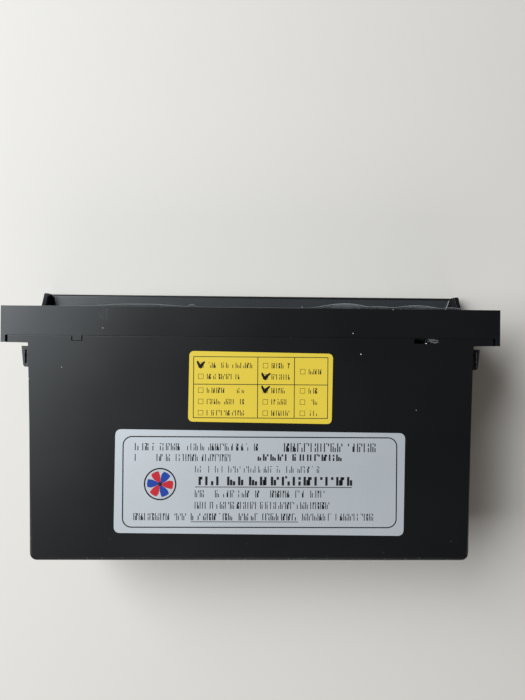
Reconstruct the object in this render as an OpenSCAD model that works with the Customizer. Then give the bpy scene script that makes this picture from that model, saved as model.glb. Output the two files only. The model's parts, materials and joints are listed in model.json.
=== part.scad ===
/* [Bezel] */
// Width of the bezel across both ears
bezel_w = 200; // [198:1:206]
// Height of the bezel and the case
bezel_h = 50; // [49:1:54]
// Depth of the bezel's top and bottom walls
bezel_d = 11.6; // [11:0.1:13]
// Thickness of the bezel's walls
bezel_wall = 2.4; // [2:0.1:2.6]
// Thickness of the bezel's two end walls
end_wall = 1.8; // [1.5:0.1:2]
// How far the lip reaches in front of the bezel
lip_reach = 9.5; // [8:0.5:12]
// Thickness of the lip's floor
lip_floor = 2.5; // [2:0.1:3]
// Radius of the hollow between the lip and the front
lip_cove_r = 4; // [3:0.5:5]

/* [Case] */
// Width of the case just behind its front plate
case_front_w = 178.5; // [178:0.5:180]
// Width of the case at its rear, less by the moulding draft
case_rear_w = 176.5; // [176:0.5:178]
// Depth of the case behind its front plate
case_d = 87; // [84:1:92]
// Thickness of the case's walls
case_wall = 2.4; // [2:0.1:2.6]
// Thickness of the case's front plate
plate_t = 2.9; // [2.5:0.1:3.2]
// Radius of the case's two rear corners
case_corner_r = 3; // [2.6:0.1:5]
// Number of vent slots in the rear wall
vent_count = 8; // [4:1:9]
// Spacing of the vent slots
vent_pitch = 6; // [5:0.5:6]

/* [Front] */
// Width of the window in the bezel that shows the fascia
fascia_w = 182; // [181:0.5:183]
// Height of the fascia that shows in the bezel
fascia_h = 32; // [31:0.5:32]
// Thickness of the fascia panel
fascia_t = 2.2; // [2:0.1:2.4]
// How far the fascia sits behind the bezel's front
fascia_recess = 1.2; // [1:0.1:1.4]
// Width of the display window
lens_w = 66; // [60:1:66]
// Height of the display window
lens_h = 25; // [22:1:25]

/* [Buttons] */
// Width of every button
key_w = 13; // [11:0.5:13]
// Height of the small buttons
key_h = 9; // [8:0.5:9]
// Height of the tall buttons at the two ends
tall_key_h = 22; // [20:0.5:22]
// How far the buttons stand out of the fascia
key_proud = 1.1; // [0.8:0.1:1.1]
// How far a button travels
key_travel = 1; // [0.6:0.1:1]
// Gap around a button in its hole
key_gap = 0.3; // [0.3:0.05:0.4]

/* [Side clips] */
// Height of a side clip
clip_h = 13.4; // [12:0.2:13.4]
// How far a clip's front end stands out of the case
clip_proud = 3.9; // [3.2:0.1:4.2]
// Radius of the pin that a clip turns on
clip_pin_r = 0.8; // [0.7:0.05:0.9]

/* [Labels] */
// Length of the name label
name_label_w = 116; // [100:1:120]
// Width of the name label
name_label_h = 41.3; // [36:0.1:44]
// Length of the option label
option_label_w = 57.5; // [50:0.5:60]
// Width of the option label
option_label_h = 28.2; // [24:0.1:30]
// Thickness of both labels
label_t = 0.15; // [0.1:0.05:0.3]

/* [Hidden] */
$fn = 48;
eps = 0.01;
gap = 0.3;

// Stations along Y, from the front to the rear
rear_y = 52.5;
flange_y = rear_y - case_d;
plate_y = flange_y - plate_t;
front_y = plate_y - bezel_d;
lip_y = front_y - lip_reach;
wall_y = front_y + bezel_wall;
fascia_y = front_y + fascia_recess;
fascia_back_y = fascia_y + fascia_t;
key_front_y = fascia_y - key_proud;
key_flange_y = fascia_back_y + gap;
key_flange_t = 1;
key_flange_lap = 0.8;
key_corner_r = 1.2;
key_stem_r = 2.4;
key_stem_l = 0.8;
stem_y = key_flange_y + key_flange_t;
stem_end_y = stem_y + key_stem_l;
plunger_y = stem_end_y + key_travel + 0.2;
plunger_r = 1.7;
switch_y = plunger_y + 0.7;
switch_half = 3;
front_board_y = switch_y + 3.2;
board_t = 1.6;
front_board_back_y = front_board_y + board_t;
socket_end_y = -lip_y;

// Half widths
half_w = bezel_w / 2;
plate_half_w = half_w - end_wall - 1;
front_half = case_front_w / 2;
rear_half = case_rear_w / 2;

// Heights of the front's rows
fascia_z = 30;
key_row = 6.5;
upper_key_z = fascia_z + key_row;
lower_key_z = fascia_z - key_row;
inner_key_x = 46;
outer_key_x = 63;
end_key_x = 82.6;
post_x = 72.8;
post_row = 12.2;
post_z = [fascia_z - post_row, fascia_z + post_row];
post_r = 2;
front_board_half_w = 84;
front_board_half_h = 15.4;
fascia_screw_x = 95;
fascia_screw_row = 12;
fascia_screw_z = [fascia_z - fascia_screw_row, fascia_z + fascia_screw_row];
fascia_post_r = 1.7;
small_keys = [
    for (x = [-outer_key_x, -inner_key_x, inner_key_x, outer_key_x], z = [upper_key_z, lower_key_z])
        [x, z, key_h]
];
end_keys = [for (x = [-end_key_x, end_key_x]) [x, fascia_z, tall_key_h]];
key_places = concat(small_keys, end_keys);
lamp_x = [-outer_key_x, -inner_key_x, inner_key_x, outer_key_x];
lamp_r = 0.8;

// Display: the lens's thickness and corners, and the frame's walls
lens_t = 1.4;
lens_r = 1.4;
glass_t = 2.8;
guide_gap = 0.8;
frame_wall = 2;

// Latch tongues on the bezel: middle, width, and their notch's width and offset
tongues = [[69.9, 3.6, 4.4, 0], [-72.3, 5.4, 10.2, 2.1]];
tongue_l = 2;

// Screws: radius of the head, and radius and length of the shank
board_screw = [2, 0.85, 5];
fascia_screw = [2.8, 0.8, 2];
main_screw = [2.6, 1.05, 7];
screw_head_t = 1.5;
screw_slot_w = 0.6;

// Side clips
clip_gap = 0.7;
clip_z = bezel_h - case_wall - clip_gap - clip_h / 2;
clip_window_half = clip_h / 2 + clip_gap;
clip_pin_y = -19.5;
clip_pin_x = front_half - 1.95;
clip_tip_y = flange_y + 1.5;
clip_heel_y = -24.6;
clip_knuckle_r = 1.8;
clip_boss_t = 2.7;
clip_pin_z = [clip_z - clip_window_half - clip_boss_t, bezel_h - 0.8];
spring_wire_r = 0.3;
spring_coil_r = 1.35;
spring_turns = 5;
spring_pitch = 0.9;
spring_steps = 12;

// Vent slots: middle of the first, and their size
vent_x = 33;
vent_z = 27;
vent_size = [2, 20];

// Main board
board_z = 12.4;
board_top = board_z + board_t;
board_half_w = 82;
board_y = [-30, 47];
board_post_x = 76;
board_post_y = [-22, 38];
board_post_r = 3;
main_socket = [-40, 42, 14, 8, 2];
aux_socket = [8, 24, 12, 4, 1];
socket_y = 42;
socket_wall = 1.6;
socket_depth = 13;
latch_slot_w = 5;
pin_l = 6.5;
pin_half = 0.4;
pin_pitch = 4.2;

// Parts on the main board: place of the first, size and spacing
processor_at = [0, -6];
processor_size = [14, 14, 1.4];
driver_at = [-40, 22];
driver_size = [12, 7.6, 2.4];
driver_pitch = 20;
relay_at = [28, 18];
relay_size = [12.5, 22, 15.4];
relay_pitch = 15;
capacitor_at = [34, 4];
capacitor_r = 5;
capacitor_h = [16, 14, 12];
capacitor_pitch = 14;
heat_sink_at = [-70, -8];
heat_sink_plate = [30, 2.5, 20];
fin_count = 7;
fin_pitch = 4.6;
fin_size = [2, 9];
regulator_at = [-60, -8];
regulator_w = 10;
regulator_legs = 2.54;
buzzer_at = [60, -14];
buzzer_r = 6;
buzzer_h = 7;
link_half_w = 20;
link_h = 6;

// Labels: middle measured from the ears, and lean
name_label_at = [-3.5, 55.5];
name_label_lean = -0.5;
option_label_at = [-3.4, 17.4];
option_label_lean = -0.7;

// Film: its two ends, lower edge and thickness
film_x = [-84, 74];
film_z = 13.5;
film_t = 0.2;

// Box between two opposite corners
module box(low, high) {
    translate(low) cube(high - low);
}

// Children and their mirror image across the middle
module both_sides() {
    children();
    mirror([1, 0, 0]) children();
}

// Extrudes an outline drawn in X and Z from y0 to y1
module along_y(y0, y1) {
    translate([0, y1, 0]) rotate([90, 0, 0]) linear_extrude(y1 - y0) children();
}

// Extrudes an outline drawn in Y and Z from x0 to x1
module along_x(x0, x1) {
    translate([x0, 0, 0]) rotate([90, 0, 90]) linear_extrude(x1 - x0) children();
}

// Round bar of radius r along Y, at x and z
module bar_y(r, x, z, y0, y1) {
    translate([x, y1, z]) rotate([90, 0, 0]) cylinder(r = r, h = y1 - y0);
}

// Outline of a w by h rectangle with round corners
function rounded(w, h, r, n = 5) = [
    for (corner = [0:3], step = [0:n])
        let (
            a = 90 * (corner + step / n),
            sx = (corner == 0 || corner == 3) ? 1 : -1,
            sy = (corner < 2) ? 1 : -1
        )
        [sx * (w / 2 - r) + r * cos(a), sy * (h / 2 - r) + r * sin(a)]
];

// Plan of the case, narrowing to the rear by its draft, inset on all sides
function case_plan(inset, y0, n = 6) =
    let (
        r = case_corner_r - inset,
        cx = rear_half - case_corner_r,
        cy = rear_y - case_corner_r,
        x0 = front_half - inset
    )
    concat(
        [[-x0, y0], [x0, y0]],
        [for (i = [0:n]) [cx + r * cos(90 * i / n), cy + r * sin(90 * i / n)]],
        [for (i = [0:n]) [-cx - r * sin(90 * i / n), cy + r * cos(90 * i / n)]]
    );

// ---- Housing ----

module case_shell() {
    color([0.13, 0.14, 0.15]) difference() {
        union() {
            case_walls();
            both_sides() {
                clip_boss();
                for (y = board_post_y) board_post(y);
            }
        }
        for (t = tongues) latch_notch(t);
        both_sides() {
            clip_window();
            clip_pin();
            for (y = board_post_y) translate([board_post_x, y, case_wall + 2])
                cylinder(r = main_screw[1] + 0.05, h = board_z);
        }
        socket_hole(main_socket);
        socket_hole(aux_socket);
        vents();
    }
}

// The case's walls and its front plate, open to the front
module case_walls() {
    difference() {
        union() {
            linear_extrude(bezel_h) polygon(case_plan(0, plate_y));
            box([-plate_half_w, plate_y, 0], [plate_half_w, flange_y, bezel_h]);
        }
        translate([0, 0, case_wall])
            linear_extrude(bezel_h - 2 * case_wall) polygon(case_plan(case_wall, plate_y - 1));
    }
}

// Notch in the front plate for a latch tongue, at the top and the bottom
module latch_notch(t) {
    x = t[0] + t[3];
    for (z = [[-1, case_wall + 0.2], [bezel_h - case_wall - 0.2, bezel_h + 1]])
        box([x - t[2] / 2, plate_y - 1, z[0]], [x + t[2] / 2, plate_y + tongue_l + 0.2, z[1]]);
}

// Window in the side wall that a clip swings in, just below the label wall
module clip_window() {
    box([front_half - case_wall - 2, flange_y, clip_z - clip_window_half],
        [front_half + 1, clip_pin_y + clip_knuckle_r + 0.5, clip_z + clip_window_half]);
}

// Boss under a clip that holds its pin's lower end; the label wall holds the upper end
module clip_boss() {
    box([clip_pin_x - clip_knuckle_r - 0.7, clip_pin_y - 2.4, clip_pin_z[0]],
        [front_half - case_wall + 0.2, clip_pin_y + 2.4, clip_z - clip_window_half]);
}

module clip_pin() {
    translate([clip_pin_x, clip_pin_y, clip_pin_z[0]])
        cylinder(r = clip_pin_r, h = clip_pin_z[1] - clip_pin_z[0]);
}

// Post on the floor that carries a corner of the main board
module board_post(y) {
    translate([board_post_x, y, case_wall - eps])
        cylinder(r = board_post_r, h = board_z - case_wall + eps);
}

// Hole in the rear wall round a connector
module socket_hole(s) {
    box([s[0] - s[1] / 2 - gap, rear_y - case_wall - 1, board_top - gap],
        [s[0] + s[1] / 2 + gap, rear_y + 1, board_top + s[2] + gap]);
}

module vents() {
    for (i = [0:vent_count - 1]) translate([vent_x + i * vent_pitch, 0, vent_z])
        along_y(rear_y - case_wall - 1, rear_y + 1)
            polygon(rounded(vent_size[0], vent_size[1], vent_size[0] / 2 - 0.05));
}

module bezel() {
    window_z = fascia_z - fascia_h / 2;
    color([0.15, 0.16, 0.17]) {
        difference() {
            union() {
                box([-half_w, front_y, 0], [half_w, wall_y, bezel_h]);
                box([-half_w, wall_y - eps, bezel_h - bezel_wall], [half_w, plate_y, bezel_h]);
                box([-half_w, wall_y - eps, 0], [half_w, plate_y, bezel_wall]);
                both_sides() box([half_w - end_wall, wall_y - eps, 0], [half_w, flange_y, bezel_h]);
                for (x = [-1, 1], z = fascia_screw_z)
                    bar_y(fascia_post_r, x * fascia_screw_x, z, wall_y - eps, fascia_back_y);
                along_x(-half_w, half_w) polygon(lip_profile());
                both_sides() along_x(half_w - end_wall, half_w) polygon(cheek_profile());
            }
            box([-fascia_w / 2, front_y - 1, window_z], [fascia_w / 2, wall_y + 1, window_z + fascia_h]);
            for (x = [-1, 1], z = fascia_screw_z)
                bar_y(fascia_screw[1] + 0.05, x * fascia_screw_x, z, wall_y - 1.2, fascia_back_y + 1);
        }
        for (t = tongues, z = [[0, bezel_wall - 0.2], [bezel_h - bezel_wall + 0.2, bezel_h]])
            box([t[0] - t[1] / 2, plate_y - 0.5, z[0]], [t[0] + t[1] / 2, plate_y + tongue_l, z[1]]);
    }
}

// Section of the lip: its floor, its round front edge and the hollow behind it
function lip_profile() =
    let (r = lip_floor / 2, cy = front_y - lip_cove_r, cz = lip_floor + lip_cove_r)
    concat(
        [[front_y + 1, 0]],
        [for (a = [-90:-15:-270]) [lip_y + r + r * cos(a), r + r * sin(a)]],
        [for (a = [-90:10:0]) [cy + lip_cove_r * cos(a), cz + lip_cove_r * sin(a)]],
        [[front_y + 1, cz]]
    );

// Outline of the cheek that closes each end of the lip
function cheek_profile() = [
    [front_y + 1, 0], [lip_y + 1, 0], [lip_y, 1], [lip_y, 6.4],
    [front_y - 3.7, 9.4], [front_y, 13], [front_y + 1, 13]
];

// ---- Front ----

module fascia_panel() {
    flange_half = fascia_screw_x - 2;
    color([0.09, 0.1, 0.11]) difference() {
        union() {
            translate([0, 0, fascia_z]) along_y(fascia_y, fascia_back_y)
                square([fascia_w - 0.4, fascia_h - 0.4], center = true);
            translate([0, 0, fascia_z]) along_y(wall_y, fascia_back_y)
                square([2 * flange_half, fascia_h + 2.6], center = true);
            for (x = [-1, 1], z = post_z)
                bar_y(post_r, x * post_x, z, fascia_back_y - eps, front_board_y);
        }
        for (k = key_places) translate([k[0], 0, k[1]]) along_y(fascia_y - 1, fascia_back_y + 1)
            polygon(rounded(key_w + 2 * key_gap, k[2] + 2 * key_gap, 1.4));
        translate([0, 0, fascia_z]) {
            along_y(fascia_y - 1, fascia_y + lens_t)
                polygon(rounded(lens_w + 0.2, lens_h + 0.2, lens_r + 0.1));
            along_y(fascia_y - 1, fascia_back_y + 1) square([lens_w - 4, lens_h - 4], center = true);
        }
        for (x = lamp_x) bar_y(lamp_r, x, fascia_z, fascia_y - 1, fascia_back_y + 1);
        for (x = [-1, 1], z = post_z)
            bar_y(board_screw[1] + 0.05, x * post_x, z, fascia_back_y + 1.5, front_board_y + 1);
    }
}

module display_window() {
    color([0.05, 0.06, 0.07, 0.7]) translate([0, 0, fascia_z])
        along_y(fascia_y, fascia_y + lens_t) polygon(rounded(lens_w, lens_h, lens_r));
}

module display_glass() {
    color([0.35, 0.42, 0.36]) translate([0, 0, fascia_z])
        along_y(fascia_back_y + 0.2, fascia_back_y + 0.2 + glass_t)
            square([lens_w - 3, lens_h - 3], center = true);
}

module display_frame() {
    color([0.9, 0.9, 0.88]) translate([0, 0, fascia_z]) along_y(fascia_back_y, front_board_y)
        difference() {
            square([lens_w - 2.6 + 2 * frame_wall, lens_h - 2.6 + 2 * frame_wall], center = true);
            square([lens_w - 2.6, lens_h - 2.6], center = true);
        }
}

module light_guide() {
    color([0.95, 0.95, 0.95]) translate([0, 0, fascia_z])
        along_y(fascia_back_y + glass_t + 0.4, front_board_y - guide_gap)
            square([lens_w - 3, lens_h - 3], center = true);
}

module front_board() {
    color([0.1, 0.35, 0.2]) difference() {
        box([-front_board_half_w, front_board_y, fascia_z - front_board_half_h],
            [front_board_half_w, front_board_back_y, fascia_z + front_board_half_h]);
        for (x = [-1, 1], z = post_z)
            bar_y(1.1, x * post_x, z, front_board_y - 1, front_board_back_y + 1);
    }
}

module tact_switches() {
    color([0.2, 0.2, 0.2]) for (k = key_places) {
        box([k[0] - switch_half, switch_y, k[1] - switch_half],
            [k[0] + switch_half, front_board_y, k[1] + switch_half]);
        bar_y(plunger_r, k[0], k[1], plunger_y, switch_y + eps);
    }
}

module indicator_lenses() {
    color([0.85, 0.95, 0.85]) for (x = lamp_x)
        bar_y(lamp_r - 0.02, x, fascia_z, fascia_y - 0.2, front_board_y - 1.4);
}

module indicator_lamps() {
    color([0.95, 0.9, 0.6]) for (x = lamp_x)
        box([x - 1, front_board_y - 1.1, fascia_z - 0.8], [x + 1, front_board_y, fascia_z + 0.8]);
}

// Pan-head screw along Y, its head towards the rear
module screw_y(x, z, seat, screw) {
    half_l = screw[0] * 0.6;
    half_w = screw_slot_w / 2;
    bar_y(screw[1], x, z, seat - screw[2], seat + eps);
    difference() {
        bar_y(screw[0], x, z, seat, seat + screw_head_t);
        for (a = [0, 90]) translate([x, seat + screw_head_t - 0.3, z]) rotate([0, a, 0])
            box([-half_l, 0, -half_w], [half_l, 1, half_w]);
    }
}

module front_board_screws() {
    color([0.7, 0.7, 0.72]) for (x = [-1, 1], z = post_z)
        screw_y(x * post_x, z, front_board_back_y, board_screw);
}

module fascia_screws() {
    color([0.7, 0.7, 0.72]) for (x = [-1, 1], z = fascia_screw_z)
        screw_y(x * fascia_screw_x, z, fascia_back_y, fascia_screw);
}

// A button: cap, the flange that keeps it in, and its stem
module key_cap(x, z, h) {
    color([0.11, 0.12, 0.13]) {
        translate([x, 0, z]) {
            along_y(key_front_y, key_flange_y + eps) polygon(rounded(key_w, h, key_corner_r));
            along_y(key_flange_y, stem_y)
                square([key_w + 2 * key_flange_lap, h + 2 * key_flange_lap], center = true);
        }
        bar_y(key_stem_r, x, z, stem_y - eps, stem_end_y);
    }
}

module power_button() { key_cap(-end_key_x, fascia_z, tall_key_h); }
module auto_button() { key_cap(end_key_x, fascia_z, tall_key_h); }
module fan_up_button() { key_cap(-outer_key_x, upper_key_z, key_h); }
module fan_down_button() { key_cap(-outer_key_x, lower_key_z, key_h); }
module warmer_button() { key_cap(-inner_key_x, upper_key_z, key_h); }
module cooler_button() { key_cap(-inner_key_x, lower_key_z, key_h); }
module airflow_button() { key_cap(inner_key_x, upper_key_z, key_h); }
module recirculate_button() { key_cap(inner_key_x, lower_key_z, key_h); }
module cooling_button() { key_cap(outer_key_x, upper_key_z, key_h); }
module defrost_button() { key_cap(outer_key_x, lower_key_z, key_h); }

// ---- Inside ----

module board_link() {
    color([0.15, 0.15, 0.15])
        box([-link_half_w, front_board_back_y, board_top],
            [link_half_w, board_y[0] + 1, board_top + link_h]);
}

module main_board() {
    color([0.1, 0.35, 0.2]) difference() {
        box([-board_half_w, board_y[0], board_z], [board_half_w, board_y[1], board_top]);
        for (x = [-1, 1], y = board_post_y)
            translate([x * board_post_x, y, board_z - 1]) cylinder(r = 1.3, h = 5);
    }
}

// Chip with legs along both long sides, and along all four when square
module chip(at, size, legs, square = false) {
    leg = [0.4, size[1] + 2.4, 0.5];
    pitch = (size[0] - 1) / legs;
    color([0.1, 0.1, 0.1]) translate([at[0], at[1], board_top]) {
        translate([-size[0] / 2, -size[1] / 2, 0.2]) cube(size);
        for (turn = square ? [0, 90] : [0], i = [0:legs - 1]) rotate([0, 0, turn])
            translate([(i + 0.5 - legs / 2) * pitch - leg[0] / 2, -leg[1] / 2, 0]) cube(leg);
    }
}

module processor() {
    chip(processor_at, processor_size, 11, square = true);
}

module driver_chips() {
    for (i = [0:2]) chip(driver_at + [i * driver_pitch, 0], driver_size, 8);
}

module relays() {
    color([0.12, 0.25, 0.5]) for (i = [0:2])
        translate([relay_at[0] + i * relay_pitch, relay_at[1], board_top]) cube(relay_size);
}

module capacitors() {
    color([0.15, 0.15, 0.3]) for (i = [0:2])
        translate([capacitor_at[0] + i * capacitor_pitch, capacitor_at[1], board_top])
            cylinder(r = capacitor_r, h = capacitor_h[i]);
}

module heat_sink() {
    plate_d = heat_sink_plate[1];
    color([0.75, 0.76, 0.78]) translate([heat_sink_at[0], heat_sink_at[1], board_top]) {
        cube(heat_sink_plate);
        for (i = [0:fin_count - 1]) translate([i * fin_pitch, plate_d - eps, 0])
            cube([fin_size[0], fin_size[1], heat_sink_plate[2]]);
    }
}

// The regulator's body, its metal tab and its three legs
module power_regulator() {
    leg_w = 0.8;
    color([0.12, 0.12, 0.12]) translate([regulator_at[0], regulator_at[1], board_top]) {
        translate([0, -4.5, 4]) cube([regulator_w, 4.5, 9]);
        translate([0, -1.3, 12]) cube([regulator_w, 1.3, 6.5]);
        for (i = [-1:1]) translate([(regulator_w - leg_w) / 2 + i * regulator_legs, -2.6, 0])
            cube([leg_w, 0.6, 4.1]);
    }
}

module buzzer() {
    color([0.08, 0.08, 0.08]) translate([buzzer_at[0], buzzer_at[1], board_top]) difference() {
        cylinder(r = buzzer_r, h = buzzer_h);
        translate([0, 0, buzzer_h - 1.5]) cylinder(r = buzzer_r / 5, h = 3);
    }
}

// Connector housing: its shroud and the block behind it
module socket(s) {
    color([0.85, 0.84, 0.78]) difference() {
        box([s[0] - s[1] / 2, socket_y, board_top], [s[0] + s[1] / 2, socket_end_y, board_top + s[2]]);
        box([s[0] - s[1] / 2 + socket_wall, socket_end_y - socket_depth, board_top + socket_wall],
            [s[0] + s[1] / 2 - socket_wall, socket_end_y + 1, board_top + s[2] - socket_wall]);
        // Slot for the plug's latch
        box([s[0] - latch_slot_w / 2, socket_end_y - 5, board_top + s[2] - socket_wall - 1],
            [s[0] + latch_slot_w / 2, socket_end_y + 1, board_top + s[2] + 1]);
    }
}

// Contacts standing in a connector, and their tails behind it
module contacts(s) {
    mid_z = board_top + s[2] / 2;
    floor_y = socket_end_y - socket_depth;
    color([0.85, 0.7, 0.35]) for (i = [0:s[3] - 1], j = [0:s[4] - 1]) {
        x = s[0] + (i - (s[3] - 1) / 2) * pin_pitch;
        z = mid_z + (j - (s[4] - 1) / 2) * pin_pitch;
        tail_y = socket_y - 1.2 - j * 1.4;
        low = [x - pin_half, 0, z - pin_half];
        high = [x + pin_half, 0, z + pin_half];
        box(low + [0, floor_y, 0], high + [0, floor_y + pin_l, 0]);
        box(low + [0, tail_y, 0], high + [0, socket_y, 0]);
        box([low[0], tail_y, board_top], high + [0, tail_y + 2 * pin_half, 0]);
    }
}

module main_connector() { socket(main_socket); }
module aux_connector() { socket(aux_socket); }
module main_pins() { contacts(main_socket); }
module aux_pins() { contacts(aux_socket); }

module main_board_screws() {
    color([0.7, 0.7, 0.72]) for (x = [-1, 1], y = board_post_y)
        translate([x * board_post_x, y, board_top]) rotate([90, 0, 0]) screw_y(0, 0, 0, main_screw);
}

// ---- Side clips ----

// Plan of the right clip: its outer leaf, the round heel and the arm to its knuckle
function clip_plan() =
    let (r = 1.1, heel_x = front_half + clip_proud - 0.7 - r, heel_y = clip_heel_y - r)
    concat(
        [[front_half + 0.8, clip_tip_y], [front_half + clip_proud, clip_tip_y]],
        [for (a = [0:15:90]) [heel_x + r * cos(a), heel_y + r * sin(a)]],
        [
            [front_half + 0.5, clip_heel_y], [front_half - 0.35, clip_heel_y + 0.9],
            [front_half - 0.35, clip_pin_y - 0.3], [clip_pin_x - 1.4, clip_pin_y - 0.9],
            [front_half - 0.9, clip_heel_y - 1.2]
        ]
    );

module clip() {
    low_z = clip_z - clip_h / 2;
    pocket_h = spring_pitch * spring_turns + 2;
    color([0.14, 0.15, 0.16]) difference() {
        union() {
            translate([0, 0, low_z]) linear_extrude(clip_h) polygon(clip_plan());
            translate([clip_pin_x, clip_pin_y, low_z]) cylinder(r = clip_knuckle_r, h = clip_h);
        }
        translate([clip_pin_x, clip_pin_y, clip_z]) {
            cylinder(r = clip_pin_r + 0.06, h = 40, center = true);
            cylinder(r = 2.4, h = pocket_h, center = true);
        }
        // Slot that lets the outer leaf give
        box([front_half + 1.7, clip_tip_y + 1.6, low_z - 1],
            [front_half + 2.3, clip_heel_y - 1.5, low_z + clip_h + 1]);
    }
}

module right_clip() { clip(); }
module left_clip() { mirror([1, 0, 0]) clip(); }

module clip_pins() {
    color([0.75, 0.75, 0.77]) both_sides() clip_pin();
}

// Centre line of a clip's spring: a leg, the coil, and a leg
function spring_path() =
    let (n = spring_turns * spring_steps, h = spring_turns * spring_pitch)
    concat(
        [[-spring_coil_r - 0.5, -5, -h / 2]],
        [for (i = [0:n])
            let (a = 180 - 360 * i / spring_steps)
            [spring_coil_r * cos(a), spring_coil_r * sin(a), h * (i / n - 0.5)]],
        [[-spring_coil_r + 0.1, 4.5, h / 2]]
    );

// Round wire swept along a path that stays nearly level
module wire(path, r, sides = 8) {
    last = len(path) - 1;
    points = [
        for (i = [0:last])
            let (
                ahead = path[min(i + 1, last)] - path[max(i - 1, 0)],
                t = ahead / norm(ahead),
                side = cross(t, [0, 0, 1]) / norm(cross(t, [0, 0, 1])),
                up = cross(side, t)
            )
            for (j = [0:sides - 1])
                path[i] + r * (cos(360 * j / sides) * side + sin(360 * j / sides) * up)
    ];
    rings = [
        for (i = [0:last - 1], j = [0:sides - 1])
            let (k = (j + 1) % sides)
            [i * sides + j, i * sides + k, (i + 1) * sides + k, (i + 1) * sides + j]
    ];
    ends = [[for (j = [sides - 1:-1:0]) j], [for (j = [0:sides - 1]) last * sides + j]];
    polyhedron(points = points, faces = concat(rings, ends), convexity = 6);
}

module clip_springs() {
    color([0.6, 0.6, 0.62]) both_sides() translate([clip_pin_x, clip_pin_y, clip_z])
        wire(spring_path(), spring_wire_r);
}

// ---- Labels and film ----

module name_label() {
    color([0.82, 0.84, 0.86]) translate([name_label_at[0], flange_y + name_label_at[1], bezel_h])
        rotate([0, 0, name_label_lean]) linear_extrude(label_t)
            polygon(rounded(name_label_w, name_label_h, 2.2));
}

module option_label() {
    color([0.93, 0.8, 0.2]) translate([option_label_at[0], flange_y + option_label_at[1], bezel_h])
        rotate([0, 0, option_label_lean]) linear_extrude(label_t)
            polygon(rounded(option_label_w, option_label_h, 1.8));
}

module transit_film() {
    color([0.8, 0.85, 0.9, 0.3])
        box([film_x[0], front_y - film_t, film_z], [film_x[1], front_y, bezel_h - 0.4]);
}

case_shell();
bezel();
fascia_panel();
display_window();
display_glass();
display_frame();
light_guide();
front_board();
tact_switches();
indicator_lenses();
indicator_lamps();
front_board_screws();
fascia_screws();
board_link();
main_board();
processor();
driver_chips();
relays();
capacitors();
power_regulator();
heat_sink();
buzzer();
main_connector();
aux_connector();
main_pins();
aux_pins();
main_board_screws();
clip_pins();
clip_springs();
left_clip();
right_clip();
power_button();
auto_button();
fan_up_button();
fan_down_button();
warmer_button();
cooler_button();
airflow_button();
recirculate_button();
cooling_button();
defrost_button();
name_label();
option_label();
transit_film();
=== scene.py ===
import json
import math

import bmesh
import bpy
from mathutils import Matrix, Vector


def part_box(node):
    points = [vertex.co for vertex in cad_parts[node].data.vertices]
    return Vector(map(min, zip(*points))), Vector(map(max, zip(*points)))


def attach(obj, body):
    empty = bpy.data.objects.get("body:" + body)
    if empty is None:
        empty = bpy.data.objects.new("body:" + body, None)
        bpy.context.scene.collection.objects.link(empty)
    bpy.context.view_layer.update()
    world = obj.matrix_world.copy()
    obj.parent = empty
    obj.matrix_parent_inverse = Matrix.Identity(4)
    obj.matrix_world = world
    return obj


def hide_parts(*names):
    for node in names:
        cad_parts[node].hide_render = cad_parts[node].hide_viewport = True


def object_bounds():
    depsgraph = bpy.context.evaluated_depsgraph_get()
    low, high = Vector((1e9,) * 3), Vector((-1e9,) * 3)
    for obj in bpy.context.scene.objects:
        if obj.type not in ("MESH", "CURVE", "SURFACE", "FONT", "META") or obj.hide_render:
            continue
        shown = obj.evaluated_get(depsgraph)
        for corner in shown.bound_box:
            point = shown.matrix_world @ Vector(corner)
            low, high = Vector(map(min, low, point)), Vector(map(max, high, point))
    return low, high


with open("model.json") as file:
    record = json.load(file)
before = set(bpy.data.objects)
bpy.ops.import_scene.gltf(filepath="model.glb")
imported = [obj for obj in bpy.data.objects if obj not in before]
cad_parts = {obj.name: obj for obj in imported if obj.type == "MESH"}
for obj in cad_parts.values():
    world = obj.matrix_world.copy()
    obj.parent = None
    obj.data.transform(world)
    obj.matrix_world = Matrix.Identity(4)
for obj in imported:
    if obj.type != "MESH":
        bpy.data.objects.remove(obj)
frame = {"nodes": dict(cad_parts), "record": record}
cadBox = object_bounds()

mm = 0.001
housing = "housing"
nodes = frame["nodes"]
scene = bpy.context.scene


def report(stage):
    print("climate unit:", stage)


def newObject(name, data):
    made = bpy.data.objects.new(name, data)
    scene.collection.objects.link(made)
    return made


def newPiece(name, bm, body=housing, materials=(), smooth=35):
    # turns a bmesh into an object that rides on a body; edges sharper than smooth degrees stay crisp
    mesh = bpy.data.meshes.new(name)
    for edge in bm.edges:
        edge.smooth = len(edge.link_faces) != 2 or edge.calc_face_angle(0) < math.radians(smooth)
    for face in bm.faces:
        face.smooth = True
    bm.to_mesh(mesh)
    bm.free()
    for material in materials:
        mesh.materials.append(material)
    piece = newObject(name, mesh)
    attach(piece, body)
    return piece


def addNode(tree, kind, links=None, **settings):
    # a node with its settings, and its inputs either linked or set
    node = tree.nodes.new(kind)
    for key, value in settings.items():
        setattr(node, key, value)
    for key, value in (links or {}).items():
        if isinstance(value, bpy.types.NodeSocket):
            tree.links.new(value, node.inputs[key])
        else:
            node.inputs[key].default_value = value
    return node


def calc(tree, operation, a, b=0.0, c=0.0, clamp=False):
    values = {0: a, 1: b, 2: c}
    return addNode(tree, "ShaderNodeMath", values, operation=operation, use_clamp=clamp).outputs[0]


def times(tree, a, b):
    return calc(tree, "MULTIPLY", a, b)


def noise(tree, place, scale, detail=2.0, output=0, **more):
    return addNode(tree, "ShaderNodeTexNoise", {
        "Vector": place, "Scale": scale, "Detail": detail, **more}).outputs[output]


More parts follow.
